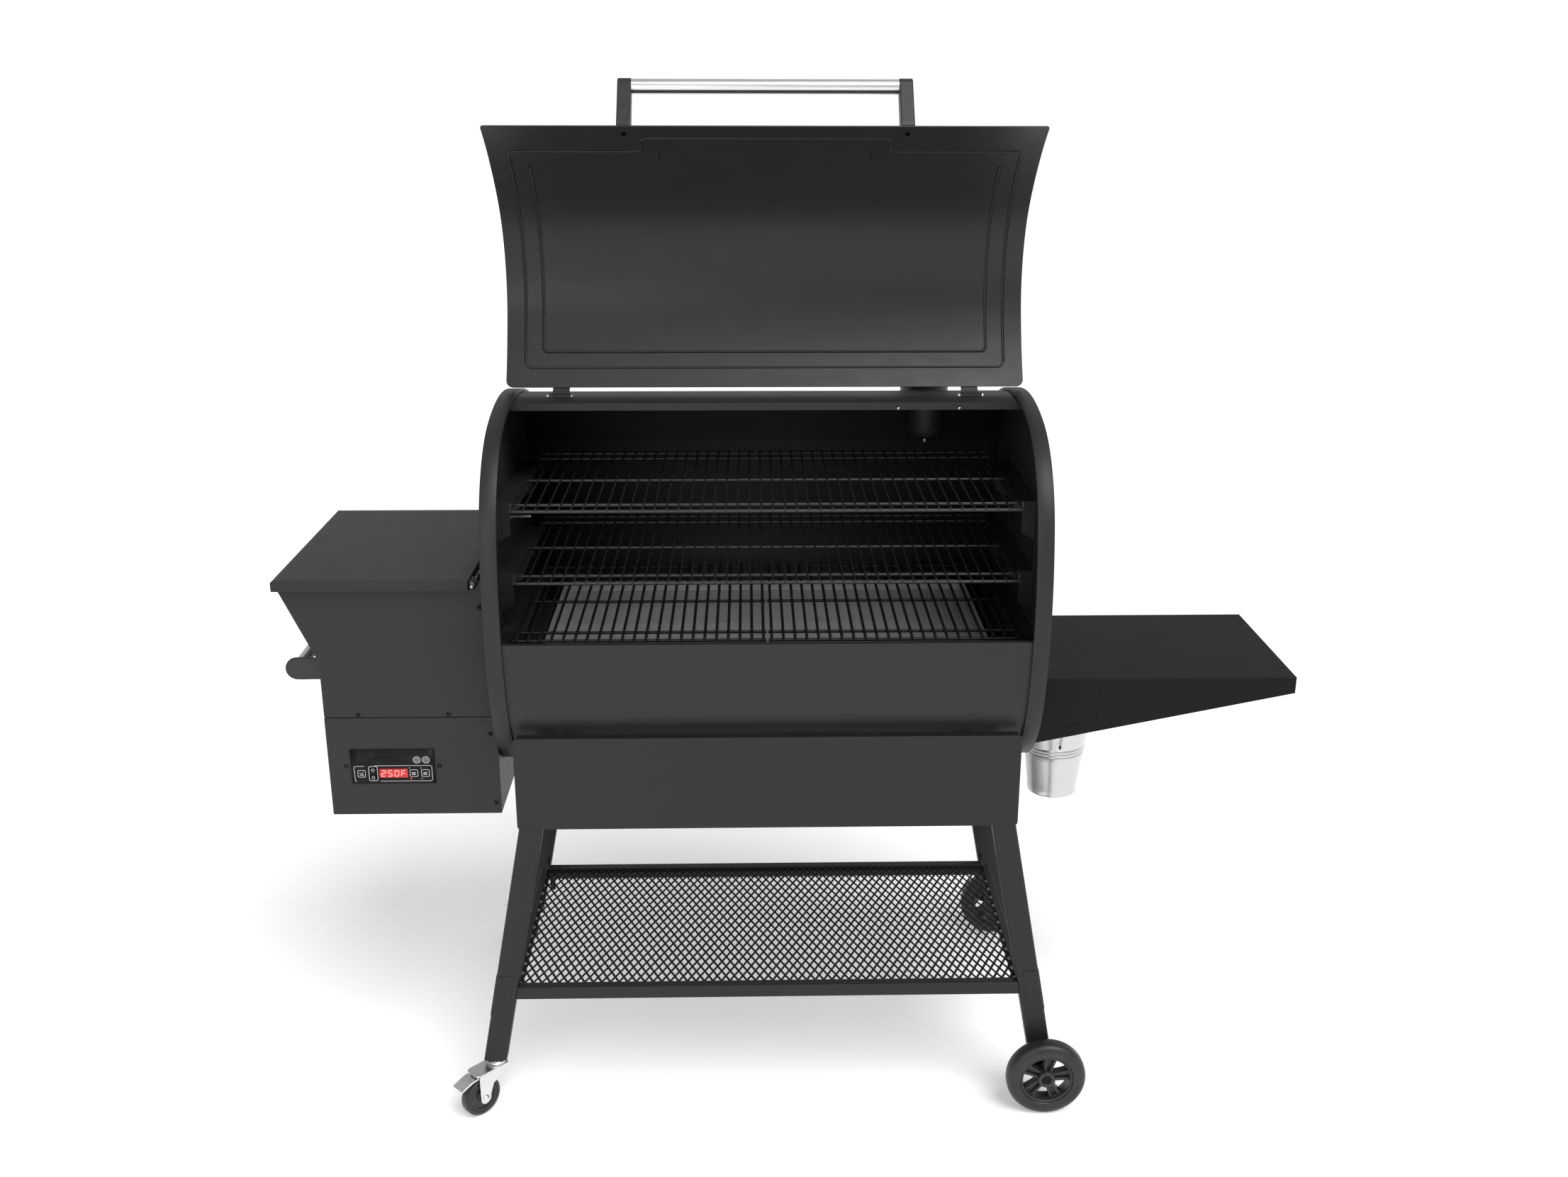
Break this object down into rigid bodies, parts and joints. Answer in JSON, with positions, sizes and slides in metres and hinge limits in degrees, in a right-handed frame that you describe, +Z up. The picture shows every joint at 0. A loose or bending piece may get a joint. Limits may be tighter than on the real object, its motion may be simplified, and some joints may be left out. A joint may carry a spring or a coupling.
{
  "type": "pellet smoker grill",
  "caption": "Barrel-shaped wood pellet smoker grill with an open hinged lid, side hopper with control panel, side table, drip pail and wheeled cart with mesh shelf",
  "frame": {"origin": "on the floor, under the middle of the whole grill's bounding box", "axes": "+X to the grill's right as a cook faces it, +Y from the cook to the back, +Z up"},
  "size_m": [1.8865, 0.8114, 1.9342],
  "materials": {
    "charcoal_paint": "satin black powder-coated steel",
    "inner_paint": "high-heat black enamel",
    "rack_steel": "dark coated steel rod",
    "grate_iron": "seasoned cast grate",
    "tray_steel": "plain rolled steel",
    "chrome": "polished tube",
    "zinc": "bright zinc plate",
    "galvanised": "galvanised sheet",
    "black_plastic": "moulded nylon",
    "gloss_black": "moulded rim",
    "tyre": "solid rubber",
    "board_green": "coated circuit board",
    "display_red": "lit numeral window"
  },
  "bodies": {
    "grill": {"auger_motor": "tray_steel", "auger_tube": "tray_steel", "axle_bolts": "zinc", "barrel_shell": "charcoal_paint", "body_screws": "rack_steel", "chimney_pipe": "charcoal_paint", "control_box": "charcoal_paint", "control_plate": "black_plastic", "controller_board": "board_green", "display": "display_red", "drain_spout": "inner_paint", "end_cap_left": "charcoal_paint", "end_cap_right": "charcoal_paint", "fan_housing": "black_plastic", "fire_pot": "rack_steel", "heat_baffle": "inner_paint", "hinge_bases": "charcoal_paint", "hopper_bin": "charcoal_paint", "hopper_guard": "inner_paint", "hopper_handle_brackets": "black_plastic", "hopper_handle_tube": "chrome", "igniter_rod": "tray_steel", "legs_left": "charcoal_paint", "legs_right": "charcoal_paint", "power_inlet": "black_plastic", "rack_brackets": "inner_paint", "shelf_frame": "charcoal_paint", "shelf_mesh": "charcoal_paint", "side_table": "charcoal_paint", "skirt_frame": "charcoal_paint", "temp_probe": "tray_steel"},
    "lid": {"lid": "charcoal_paint", "handle_arms": "charcoal_paint", "handle_tube": "chrome", "hinge_leaves": "charcoal_paint"},
    "hopper_lid": {"hopper_lid": "charcoal_paint"},
    "chimney_cap": {"chimney_cap": "charcoal_paint"},
    "rack_top": {"rack_top": "rack_steel"},
    "rack_middle": {"rack_middle": "rack_steel"},
    "grate_left": {"grate_left": "grate_iron"},
    "grate_right": {"grate_right": "grate_iron"},
    "drip_tray": {"drip_tray": "tray_steel"},
    "auger": {"auger_screw": "tray_steel"},
    "fan": {"fan_rotor": "black_plastic"},
    "bucket": {"bucket": "galvanised"},
    "bail": {"bucket_bail": "zinc"},
    "wheel_front": {"wheel_front": "tyre"},
    "wheel_rear": {"wheel_rear": "tyre"},
    "button_power": {"button_power": "black_plastic"},
    "button_up": {"button_up": "black_plastic"},
    "button_down": {"button_down": "black_plastic"},
    "button_mode": {"button_mode": "black_plastic"},
    "button_prime": {"button_prime": "black_plastic"},
    "caster_front": {"caster_fork_front": "zinc"},
    "caster_wheel_front": {"caster_wheel_front": "gloss_black"},
    "caster_pedal_front": {"caster_pedal_front": "zinc"},
    "caster_rear": {"caster_fork_rear": "zinc"},
    "caster_wheel_rear": {"caster_wheel_rear": "gloss_black"},
    "caster_pedal_rear": {"caster_pedal_rear": "zinc"}
  },
  "joints": [
    {"name": "lid_hinge", "type": "hinge", "parent": "grill", "child": "lid", "pos_m": [-0.05325, -0.0423, 1.362], "axis": [-1, 0, 0], "range_deg": [-126, 0]},
    {"name": "hopper_lid_hinge", "type": "hinge", "parent": "grill", "child": "hopper_lid", "pos_m": [-0.58525, -0.0533, 1.067], "axis": [0, 1, 0], "range_deg": [0, 88]},
    {"name": "chimney_cap_screw", "type": "slide", "parent": "grill", "child": "chimney_cap", "axis": [0, 0, 1], "range_m": [0, 0.006]},
    {"name": "rack_top_slide", "type": "slide", "parent": "grill", "child": "rack_top", "axis": [0, -1, 0], "range_m": [0, 0.3]},
    {"name": "rack_middle_slide", "type": "slide", "parent": "grill", "child": "rack_middle", "axis": [0, -1, 0], "range_m": [0, 0.3]},
    {"name": "grate_left_lift", "type": "slide", "parent": "grill", "child": "grate_left", "axis": [0, 0, 1], "range_m": [0, 0.08]},
    {"name": "grate_right_lift", "type": "slide", "parent": "grill", "child": "grate_right", "axis": [0, 0, 1], "range_m": [0, 0.08]},
    {"name": "drip_tray_lift", "type": "slide", "parent": "grill", "child": "drip_tray", "axis": [0, 0, 1], "range_m": [0, 0.015]},
    {"name": "auger_spin", "type": "hinge", "parent": "grill", "child": "auger", "pos_m": [-0.45325, -0.0483, 0.78], "axis": [1, 0, 0], "continuous": true},
    {"name": "fan_spin", "type": "hinge", "parent": "grill", "child": "fan", "pos_m": [-0.58125, -0.0483, 0.712], "axis": [1, 0, 0], "continuous": true},
    {"name": "bucket_unhook", "type": "slide", "parent": "grill", "child": "bucket", "axis": [1, 0, 0], "range_m": [0, 0.2]},
    {"name": "bail_swing", "type": "hinge", "parent": "bucket", "child": "bail", "pos_m": [0.53575, -0.0483, 0.6619], "axis": [0, 1, 0], "range_deg": [0, 80]},
    {"name": "wheel_front_spin", "type": "hinge", "parent": "grill", "child": "wheel_front", "pos_m": [0.48975, -0.3728, 0.0778], "axis": [0, 1, 0], "continuous": true},
    {"name": "wheel_rear_spin", "type": "hinge", "parent": "grill", "child": "wheel_rear", "pos_m": [0.48975, 0.2962, 0.0778], "axis": [0, 1, 0], "continuous": true},
    {"name": "button_power_press", "type": "slide", "parent": "grill", "child": "button_power", "axis": [0, 1, 0], "range_m": [0, 0.0015], "stiffness_N_per_m": 400, "springref_m": -0.0005},
    {"name": "button_up_press", "type": "slide", "parent": "grill", "child": "button_up", "axis": [0, 1, 0], "range_m": [0, 0.0015], "stiffness_N_per_m": 400, "springref_m": -0.0005},
    {"name": "button_down_press", "type": "slide", "parent": "grill", "child": "button_down", "axis": [0, 1, 0], "range_m": [0, 0.0015], "stiffness_N_per_m": 400, "springref_m": -0.0005},
    {"name": "button_mode_press", "type": "slide", "parent": "grill", "child": "button_mode", "axis": [0, 1, 0], "range_m": [0, 0.0015], "stiffness_N_per_m": 400, "springref_m": -0.0005},
    {"name": "button_prime_press", "type": "slide", "parent": "grill", "child": "button_prime", "axis": [0, 1, 0], "range_m": [0, 0.0015], "stiffness_N_per_m": 400, "springref_m": -0.0005},
    {"name": "caster_front_swivel", "type": "hinge", "parent": "grill", "child": "caster_front", "pos_m": [-0.58933, -0.3283, 0.1], "axis": [0, 0, 1], "continuous": true},
    {"name": "caster_wheel_front_spin", "type": "hinge", "parent": "caster_front", "child": "caster_wheel_front", "pos_m": [-0.61902, -0.358, 0.04], "axis": [0.7071, -0.7071, 0], "continuous": true},
    {"name": "caster_pedal_front_press", "type": "hinge", "parent": "caster_front", "child": "caster_pedal_front", "pos_m": [-0.61902, -0.358, 0.086], "axis": [0.7071, -0.7071, 0], "range_deg": [0, 6]},
    {"name": "caster_rear_swivel", "type": "hinge", "parent": "grill", "child": "caster_rear", "pos_m": [-0.58933, 0.2517, 0.1], "axis": [0, 0, 1], "continuous": true},
    {"name": "caster_wheel_rear_spin", "type": "hinge", "parent": "caster_rear", "child": "caster_wheel_rear", "pos_m": [-0.6215, 0.2787, 0.04], "axis": [-0.6428, -0.766, 0], "continuous": true},
    {"name": "caster_pedal_rear_press", "type": "hinge", "parent": "caster_rear", "child": "caster_pedal_rear", "pos_m": [-0.6215, 0.2787, 0.086], "axis": [-0.6428, -0.766, 0], "range_deg": [0, 6]}
  ]
}
